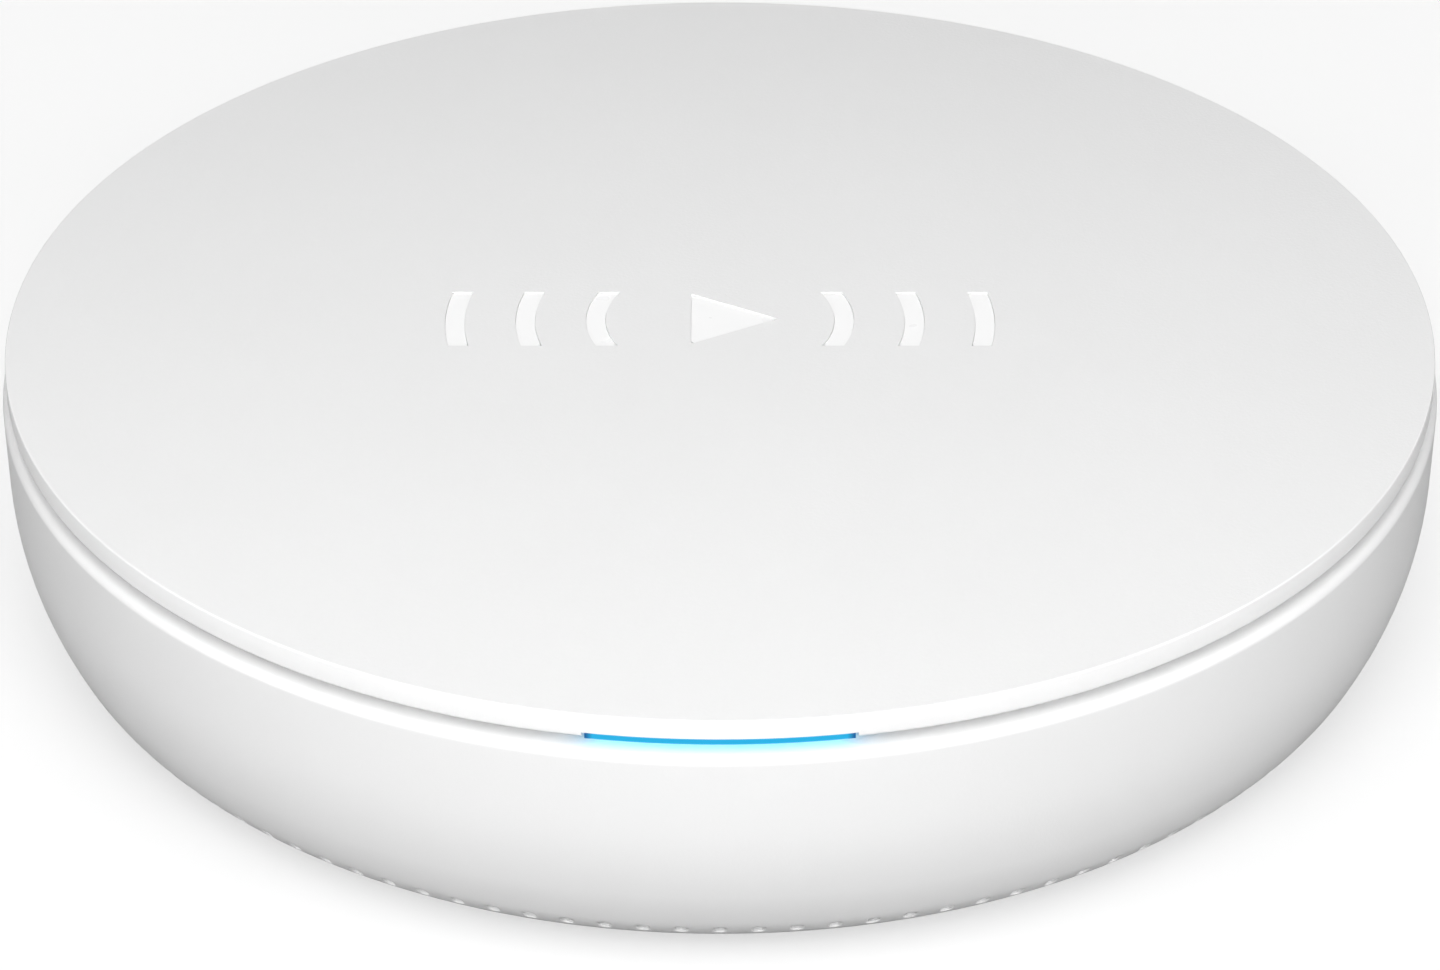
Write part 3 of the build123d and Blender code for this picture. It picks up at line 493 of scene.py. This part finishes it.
# Painted shade: faces that turn under are painted this grey
UNDER_PAINTED_SHADE = (0.63, 0.63, 0.63)
# Painted light: upward faces of the bowl are painted this paler white
SHOULDER_PAINTED_LIGHT = (0.96, 0.96, 0.96)
bowl_shader = MATERIALS["housing_white"]
# Painted shade: the more a face of the bowl looks down, the darker it is painted
painted_shade_under = bowl_shader.ramp(bowl_shader.facing_up(), *UNDER_SPAN)
bowl_shader.mix(painted_shade_under, bowl_shader.source("Base Color"), UNDER_PAINTED_SHADE)
# Painted light: the shoulder, the ledge and the lower lips of the vents, which look up, are painted paler
painted_light_up = bowl_shader.ramp(bowl_shader.facing_up(), *SHOULDER_SPAN)
bowl_shader.mix(painted_light_up, bowl_shader.source("Base Color"), SHOULDER_PAINTED_LIGHT)

# Circuit board: green solder mask over faint copper, under a gloss coat
MASK_GREEN = (0.02, 0.16, 0.06)
TRACE_SCALE = 240
TRACE_SPAN = (0.02, 0.06)
board = worn("circuit_board", MASK_GREEN, 0.34, 1500, 10 * MICRON, blotch=0.2, wear=0.3, Coat_Weight=0.5)
traces = board.nodes.new("ShaderNodeTexVoronoi")
traces.feature = "DISTANCE_TO_EDGE"
traces.inputs["Scale"].default_value = TRACE_SCALE
board.links.new(board.coords, traces.inputs["Vector"])
board.bump(board.ramp(traces.outputs["Distance"], *TRACE_SPAN), 30 * MICRON)
MATERIALS["circuit_board"] = board

# Light strip: a lit core, paler along its upper and lower edges, dying to navy at its two ends, and
# brighter underneath, where it lights the ledge
STRIP_BASE = (0.003, 0.01, 0.03)
CORE_BLUE = (0.022, 0.44, 0.77)
EDGE_BLUE = (0.2, 0.66, 0.93)
END_NAVY = (0.015, 0.13, 0.34)
STRIP_END = guide_high.x + 0.3 * MM
PALE_SPAN = (0.24 * MM, 0.37 * MM)  # from the middle of the strip
NAVY_SPAN = (STRIP_END - 0.9 * MM, STRIP_END - 0.2 * MM)
BELOW_SPAN = (-0.6, -0.95)
BELOW_STRENGTH = 1.7
STRIP_ROUGHNESS = (0.3, 0.4)
STRIP_GRAIN = 2000
strip = Shader("light_strip", STRIP_BASE, 0.35, Specular_IOR_Level=0.1)
strip_middle = (STRIP_LOW + STRIP_HIGH) / 2
across = strip.maths("ABSOLUTE", strip.maths("SUBTRACT", strip.axis("Z"), strip_middle))
along = strip.maths("ABSOLUTE", strip.axis("X"))
core = strip.mix(strip.ramp(across, *PALE_SPAN), CORE_BLUE, EDGE_BLUE, socket=None)
strip.mix(strip.ramp(along, *NAVY_SPAN), core, END_NAVY, "Emission Color")
strip.link(strip.ramp(strip.facing_up(), *BELOW_SPAN, 1.0, BELOW_STRENGTH), "Emission Strength")
strip.link(strip.ramp(strip.noise(SHEEN_SCALE), *NOISE_SPAN, *STRIP_ROUGHNESS), "Roughness")
strip.bump(strip.noise(STRIP_GRAIN), 10 * MICRON)
MATERIALS["light_strip"] = strip

slot_of = {row["node"]: row["material_slot"] for row in RECORD["subparts"]}
for node_name, node in NODES.items():
    for index in range(len(node.material_slots)):
        node.material_slots[index].material = MATERIALS[slot_of[node_name]].material

# ---------------------------------------------------------------- top cover

edge_centre = COVER_RADIUS - TOP_EDGE
under_centre = COVER_RADIUS - UNDER_EDGE
cover = turned(
    "cover",
    arc((edge_centre, TOP - TOP_EDGE), TOP_EDGE, math.pi / 2, 0, 5)
    + arc((under_centre, COVER_UNDER + UNDER_EDGE), UNDER_EDGE, 0, -math.pi / 2, 6)
    + [(SKIRT_OUTER, COVER_UNDER), (SKIRT_INNER, COVER_CEILING)],
)
skirt_outline = [
    (SKIRT_INNER, SKIRT_LOW),
    (SKIRT_OUTER, SKIRT_LOW),
    (SKIRT_OUTER, COVER_CEILING + OVERLAP),
    (SKIRT_INNER, COVER_CEILING + OVERLAP),
]
skirt_half = math.radians(180 - SKIRT_FRONT_GAP - SKIRT_REAR_GAP) / 2
skirt_middle = math.radians(90 - SKIRT_REAR_GAP) - skirt_half
for middle in (skirt_middle, math.pi - skirt_middle):
    combine(cover, "UNION", sector("skirt", skirt_outline, middle, skirt_half, 120))
hook_top = LEDGE_UNDER - HOOK_CLEARANCE
hook_outline = [
    (SKIRT_OUTER - HOOK_ROOT, SKIRT_LOW + HOOK_LIFT),
    (SKIRT_OUTER + HOOK_TOE, SKIRT_LOW + HOOK_LIFT),
    (SKIRT_OUTER + HOOK_REACH, hook_top - HOOK_NOSE),
    (SKIRT_OUTER + HOOK_REACH, hook_top),
    (SKIRT_OUTER - HOOK_ROOT, hook_top),
]
for hook_angle in HOOK_ANGLES:
    combine(cover, "UNION", sector("hook", hook_outline, math.radians(hook_angle), HOOK_HALF, 6))
screw_places = [polar(SCREW_CIRCLE, math.radians(angle)) for angle in SCREW_ANGLES]
posts = [circle(place, BOSS_RADIUS) for place in screw_places]
pilots = [circle(place, SCREW_PILOT, 32) for place in screw_places]
combine(cover, "UNION", prisms("posts", posts, upright(BOSS_SPLIT, COVER_CEILING + OVERLAP)))
pilot_place = upright(BOSS_SPLIT - MM, BOSS_SPLIT + SCREW_PILOT_DEPTH)
combine(cover, "DIFFERENCE", prisms("pilots", pilots, pilot_place))

# Pocket for the light guide
pocket_outline = [
    (GUIDE_INNER - GAP, SKIRT_LOW - MM),
    (GUIDE_INNER - GAP, guide_high.z + FIT),
    (GUIDE_LIP + FIT, guide_high.z + FIT),
    (GUIDE_LIP + FIT, STRIP_HIGH + FIT),
    (BODY_RADIUS + MM, STRIP_HIGH + FIT),
    (BODY_RADIUS + MM, SKIRT_LOW - MM),
]
combine(cover, "DIFFERENCE", sector("pocket", pocket_outline, FRONT, GUIDE_HALF + POCKET_MARGIN, 60))

# Recess of the mark: three waves either side of a play triangle
mark = bmesh.new()
mark_place = upright(TOP - MARK_DEPTH, TOP + MARK_DEPTH)
for wave_radius in MARK_RADII:
    outer = wave_radius + MARK_STROKE / 2
    inner = wave_radius - MARK_STROKE / 2
    outer_end = math.asin(MARK_HEIGHT / 2 / outer)
    inner_end = math.asin(MARK_HEIGHT / 2 / inner)
    for turn in (0, math.pi):
        add_prism(
            mark,
            arc((0, 0), outer, turn - outer_end, turn + outer_end, 16)
            + arc((0, 0), inner, turn + inner_end, turn - inner_end, 16),
            mark_place,
        )
add_prism(mark, circle((0, 0), MARK_PLAY, 3), mark_place)
corners = []
for edge in mark.edges:
    upward = abs(edge.verts[0].co.z - edge.verts[1].co.z) > MARK_DEPTH
    if upward and edge.calc_face_angle() > math.radians(30):
        corners.append(edge)
bmesh.ops.bevel(
    mark, geom=corners, offset=MARK_CORNER, offset_type="OFFSET", segments=5, profile=0.5, affect="EDGES"
)
combine(cover, "DIFFERENCE", make_object("mark_cutter", mark))
finish_piece(cover, "top_cover", "cover_white")

# ---------------------------------------------------------------- light guide

face_centre = GUIDE_FACE - LIP_ROUND
guide_outline = (
    [
        (GUIDE_INNER, guide_low.z),
        (GUIDE_BEND, guide_low.z),
        (GUIDE_BEND, COVER_UNDER),
        (GUIDE_DROP, COVER_UNDER),
        (GUIDE_DROP, STRIP_LOW),
    ]
    + arc((face_centre, STRIP_LOW + LIP_ROUND), LIP_ROUND, -math.pi / 2, 0, 3)
    + arc((face_centre, STRIP_HIGH - LIP_ROUND), LIP_ROUND, 0, math.pi / 2, 3)
    + [
        (GUIDE_LIP, STRIP_HIGH),
        (GUIDE_LIP, guide_high.z),
        (GUIDE_INNER + MM, guide_high.z),
        (GUIDE_INNER, guide_high.z - MM),
    ]
)
guide = sector("light_bar", guide_outline, FRONT, GUIDE_HALF, 80)
finish_piece(guide, "light_guide", "light_strip")

# ---------------------------------------------------------------- lower housing

sin_draft, cos_draft = math.sin(DRAFT), math.cos(DRAFT)
shoulder_centre = (BODY_RADIUS - SHOULDER, LEDGE - SHOULDER)
sin_corner = math.sin(CORNER_ANGLE)
side_start_z = BASE + CORNER_RADIUS * (1 - sin_corner) + SIDE_RADIUS * (sin_corner - sin_draft)
wall_start = (shoulder_centre[0] + SHOULDER * cos_draft, shoulder_centre[1] - SHOULDER * sin_draft)
side_start_r = wall_start[0] - (wall_start[1] - side_start_z) * math.tan(DRAFT)
side_centre = (side_start_r - SIDE_RADIUS * cos_draft, side_start_z + SIDE_RADIUS * sin_draft)
corner_centre = (
    side_centre[0] + (SIDE_RADIUS - CORNER_RADIUS) * math.cos(CORNER_ANGLE),
    side_centre[1] - (SIDE_RADIUS - CORNER_RADIUS) * math.sin(CORNER_ANGLE),
)


def flank(inset, rows=10):
    """Outline up the side of the bowl above the vents, moved inwards."""
    corner = arc(corner_centre, CORNER_RADIUS - inset, TILE_ANGLE - VENT_ANGLE, -CORNER_ANGLE, 1)
    return corner + arc(side_centre, SIDE_RADIUS - inset, -CORNER_ANGLE, -DRAFT, rows)[1:]


def corner_below(inset, rows=7):
    """Outline of the corner under the vents, from the flat base up."""
    return arc(corner_centre, CORNER_RADIUS - inset, -math.pi / 2, -VENT_ANGLE - TILE_ANGLE, rows)


inner_rise = LEDGE_UNDER - side_start_z - WALL * sin_draft
inner_top_r = side_start_r - WALL * cos_draft + inner_rise * math.tan(DRAFT)
shell = bmesh.new()
ring_outer = ring_high.x
base_rows = sweep(
    shell,
    [
        (FOOT_INNER - GAP, BASE),
        (FOOT_INNER - GAP, GROOVE_TOP),
        (ring_outer + GAP, GROOVE_TOP),
        (ring_outer + GAP, BASE),
    ]
    + corner_below(0),
    0,
    TURN,
    SEGMENTS,
)
shell.faces.new(base_rows[0])
sweep(
    shell,
    flank(0)
    + arc(shoulder_centre, SHOULDER, -DRAFT, math.pi / 2, 9)
    + [
        (RIM_OUTER, LEDGE),
        (RIM_OUTER, COVER_UNDER),
        (RIM_INNER, COVER_UNDER),
        (RIM_INNER, LEDGE_UNDER),
        (inner_top_r, LEDGE_UNDER),
    ]
    + flank(WALL)[::-1],
    0,
    TURN,
    SEGMENTS,
)
floor_rows = sweep(shell, corner_below(WALL)[::-1], 0, TURN, SEGMENTS)
shell.faces.new(floor_rows[-1])

# One tile per vent, from the tile's border in to the slot, through the wall and out again on the inside
half_tile = math.pi / VENTS
border = []
for side in range(4):
    for i in range(TILE_SIDE):
        run = 2 * i / TILE_SIDE - 1
        border.append([(1, run), (-run, 1), (-1, -run), (run, -1)][side])
slot_edge = []
for u, v in border:
    around = math.atan2(v, u)
    straight = VENT_STRAIGHT * (1 if v > 0 else -1) if abs(v) > 1e-9 else 0
    slot_edge.append((VENT_HALF_WIDTH * math.cos(around), VENT_HALF_WIDTH * math.sin(around) + straight))
# How far out towards the border, and how deep in the wall
TILE_RINGS = [
    (1, 0),
    (0.55, 0),
    (0.25, 0),
    (0.1, 0.12 * VENT_LIP),
    (0.04, 0.4 * VENT_LIP),
    (0, VENT_LIP),
    (0, WALL - 0.1 * MM),
    (0.08, WALL),
    (1, WALL),
]
for vent in range(VENTS):
    middle = TURN * (vent + 0.5) / VENTS + half_tile
    rows = []
    for out, depth in TILE_RINGS:
        radius = CORNER_RADIUS - depth
        across_vent = corner_centre[0] + radius * math.cos(VENT_ANGLE)
        row = []
        for (u, v), (slot_x, slot_y) in zip(border, slot_edge):
            down = VENT_ANGLE + out * v * TILE_ANGLE + (1 - out) * slot_y / radius
            turn = middle + out * u * half_tile + (1 - out) * slot_x / across_vent
            x, y = polar(corner_centre[0] + radius * math.cos(down), turn)
            row.append(shell.verts.new((x, y, corner_centre[1] - radius * math.sin(down))))
        rows.append(row)
    for near, far in zip(rows, rows[1:]):
        for i in range(len(border)):
            j = (i + 1) % len(border)
            shell.faces.new((near[i], near[j], far[j], far[i]))
housing = make_object("housing_shell", shell, merge=1e-6)

# Block round the rear bay, then the bay and the openings in its panel
block_low = BAY_LOW - BLOCK_WALL
block_high = LEDGE_UNDER + OVERLAP
block_outline = [
    (-BLOCK_HALF_WIDTH, block_low),
    (BLOCK_HALF_WIDTH, block_low),
    (BLOCK_HALF_WIDTH, block_high),
    (-BLOCK_HALF_WIDTH, block_high),
]
block = prisms("bay_block", [block_outline], lengthwise(PANEL_INNER, BODY_RADIUS))
middle_wall = turned(
    "middle_wall",
    arc(corner_centre, CORNER_RADIUS - WALL / 2, -math.pi / 2, -CORNER_ANGLE, 12)
    + arc(side_centre, SIDE_RADIUS - WALL / 2, -CORNER_ANGLE, -DRAFT, 12)[1:]
    + [(inner_top_r + WALL / 2, LEDGE)],
    240,
)
combine(block, "INTERSECT", middle_wall)
combine(housing, "UNION", block)
bay = rounded((-BAY_HALF_WIDTH, BAY_HALF_WIDTH), (BAY_LOW, BAY_HIGH), BAY_CORNER)
combine(housing, "DIFFERENCE", prisms("bay", [bay], lengthwise(PANEL, PANEL + BAY_CUT)))


def port(node, clearance=GAP):
    """Opening round a socket whose mouth is at the panel."""
    low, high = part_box(node)
    return (low.x - clearance, high.x + clearance), (low.z - clearance, high.z + clearance)


def middle_of(node):
    """Middle of a node as seen from behind."""
    low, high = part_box(node)
    return ((low.x + high.x) / 2, (low.z + high.z) / 2)


openings = [
    circle(middle_of("coax_insulator"), COAX_HOLE),
    circle(middle_of("power_pin"), POWER_HOLE),
    circle(middle_of("reset_button"), BUTTON_HOLE),
    rounded(*port("ethernet_shield"), FIT, 1),
    rounded(*port("usb_shield"), FIT, 1),
]
combine(housing, "DIFFERENCE", prisms("openings", openings, lengthwise(PANEL_INNER - MM, PANEL + MM)))

# Bosses, light board shelf, screw holes, base vents and label recess
board_low = main_board_low.z
bosses = [circle(place, BOSS_RADIUS) for place in screw_places]
combine(housing, "UNION", prisms("bosses", bosses, upright(FLOOR - OVERLAP, BOSS_SPLIT)))
board_bosses = [circle(place, BOARD_BOSS_RADIUS) for place in BOARD_SCREW_PLACES]
combine(housing, "UNION", prisms("board_bosses", board_bosses, upright(FLOOR - OVERLAP, board_low)))
shelf_outline = [
    (SHELF_INNER, SHELF_LOW),
    (RIM_INNER + WALL, SHELF_LOW),
    (RIM_INNER + WALL, LEDGE_UNDER),
    (RIM_INNER + WALL, LEDGE_UNDER + OVERLAP),
    (RIM_INNER + OVERLAP, LEDGE_UNDER + OVERLAP),
    (RIM_INNER + OVERLAP, LEDGE_UNDER),
    (SHELF_INNER, LEDGE_UNDER),
]
combine(housing, "UNION", sector("shelf", shelf_outline, FRONT, SHELF_HALF, 40))
shanks = [circle(place, SCREW_SHANK, 32) for place in screw_places]
heads = [circle(place, SCREW_HEAD, 32) for place in screw_places]
board_pilots = [circle(place, BOARD_PILOT, 32) for place in BOARD_SCREW_PLACES]
combine(housing, "DIFFERENCE", prisms("shanks", shanks, upright(BASE - MM, BOSS_SPLIT + MM)))
combine(housing, "DIFFERENCE", prisms("heads", heads, upright(BASE - MM, SCREW_SEAT)))
board_pilot_place = upright(BOARD_PILOT_LOW, board_low + MM)
combine(housing, "DIFFERENCE", prisms("board_pilots", board_pilots, board_pilot_place))
base_vents = []
for i in range(BASE_VENTS):
    angle = TURN * i / BASE_VENTS
    slot = []
    for end, way in ((BASE_VENT_INNER + BASE_VENT_ROUND, math.pi), (BASE_VENT_OUTER - BASE_VENT_ROUND, 0)):
        first, last = angle + way - math.pi / 2, angle + way + math.pi / 2
        slot += arc(polar(end, angle), BASE_VENT_ROUND, first, last, 6)
    base_vents.append(slot)
combine(housing, "DIFFERENCE", prisms("base_vents", base_vents, upright(BASE - MM, FLOOR + MM)))
label_x = (label_low.x - GAP, label_high.x + GAP)
label_y = (label_low.y - GAP, label_high.y + GAP)
label = rounded(label_x, label_y, LABEL_CORNER)
combine(housing, "DIFFERENCE", prisms("label_recess", [label], upright(BASE - MM, BASE + LABEL_RECESS)))
finish_piece(housing, "lower_housing", "housing_white")

# ---------------------------------------------------------------- stage, light and camera

FLOOR_SIZE = 8
FLOOR_GREY = (0.45, 0.45, 0.45)
FLOOR_GLOW = 0.57
bpy.ops.mesh.primitive_plane_add(size=FLOOR_SIZE)
floor = bpy.context.object
floor.name = "floor"
floor_shader = Shader("floor_white", FLOOR_GREY, 0.9)
floor_shader.set("Emission Color", (1, 1, 1, 1))
floor_shader.set("Emission Strength", FLOOR_GLOW)
floor_shader.set("Specular IOR Level", 0.0)
floor.data.materials.append(floor_shader.material)
lit_by_floor = bpy.data.collections.new("lit_by_floor")  # the floor's own glow stays off the object
lit_by_floor.objects.link(floor)
floor.light_linking.receiver_collection = lit_by_floor

world = bpy.data.worlds.new("studio")
world.use_nodes = True
world.node_tree.nodes["Background"].inputs["Color"].default_value = (1, 1, 1, 1)
world.node_tree.nodes["Background"].inputs["Strength"].default_value = 0.0
bpy.context.scene.world = world


def softbox(name, distance, azimuth, elevation, width, height, power):
    """Rectangular light aimed at the object: metres, degrees and watts, with azimuth 0 at the front."""
    azimuth, elevation = math.radians(azimuth), math.radians(elevation)
    place = Vector(
        (
            distance * math.cos(elevation) * math.sin(azimuth),
            -distance * math.cos(elevation) * math.cos(azimuth),
            distance * math.sin(elevation),
        )
    )
    data = bpy.data.lights.new(name, "AREA")
    data.shape = "RECTANGLE"
    data.size = width
    data.size_y = height
    data.energy = power
    light = bpy.data.objects.new(name, data)
    bpy.context.scene.collection.objects.link(light)
    light.location = place
    light.rotation_euler = (Vector((0, 0, TOP / 2)) - place).to_track_quat("-Z", "Y").to_euler()
    return light


softbox("overhead", 1.2, 0, 62, 1.0, 0.6, 6.4)
softbox("front_high", 1.2, 0, 40, 1.0, 0.4, 5.8)
softbox("front_low", 1.2, 0, 18, 0.6, 0.3, 3.4)
softbox("back_high", 1.4, 180, 60, 1.2, 0.6, 3.1)
softbox("back_low", 1.6, 180, 32, 1.8, 0.5, 3.5)
back_fill = softbox("back_fill", 1.4, 180, 12, 0.7, 0.3, 9.0)
softbox("left", 1.3, -70, 20, 0.4, 0.5, 3.1)
softbox("right", 1.3, 70, 20, 0.4, 0.5, 2.9)

# The low back light is kept off the cover and the floor
UNLIT_FROM_BEHIND = ("cover", "cover_mark", "top_cover", "floor")
lit_from_behind = bpy.data.collections.new("lit_from_behind")
for item in bpy.context.scene.objects:
    if item.type == "MESH" and item.name not in UNLIT_FROM_BEHIND:
        lit_from_behind.objects.link(item)
back_fill.light_linking.receiver_collection = lit_from_behind

CAMERA_DISTANCE = 6.154  # in cover radii, behind the centre of the cover
CAMERA_HEIGHT = 3.541  # in cover radii, above the cover
CAMERA_PITCH = 31.808  # degrees below level
CAMERA_LENS = 126.0
SENSOR_WIDTH = 36.0
cam_data = bpy.data.cameras.new("camera")
cam_data.lens = CAMERA_LENS
cam_data.sensor_width = SENSOR_WIDTH
cam_data.clip_start = 0.01
cam_data.clip_end = 20
camera = bpy.data.objects.new("camera", cam_data)
camera.location = (0, -CAMERA_DISTANCE * COVER_RADIUS, TOP + CAMERA_HEIGHT * COVER_RADIUS)
camera.rotation_euler = (math.radians(90 - CAMERA_PITCH), 0, 0)
bpy.context.scene.collection.objects.link(camera)
bpy.context.scene.camera = camera
bpy.context.scene.view_settings.view_transform = "Standard"
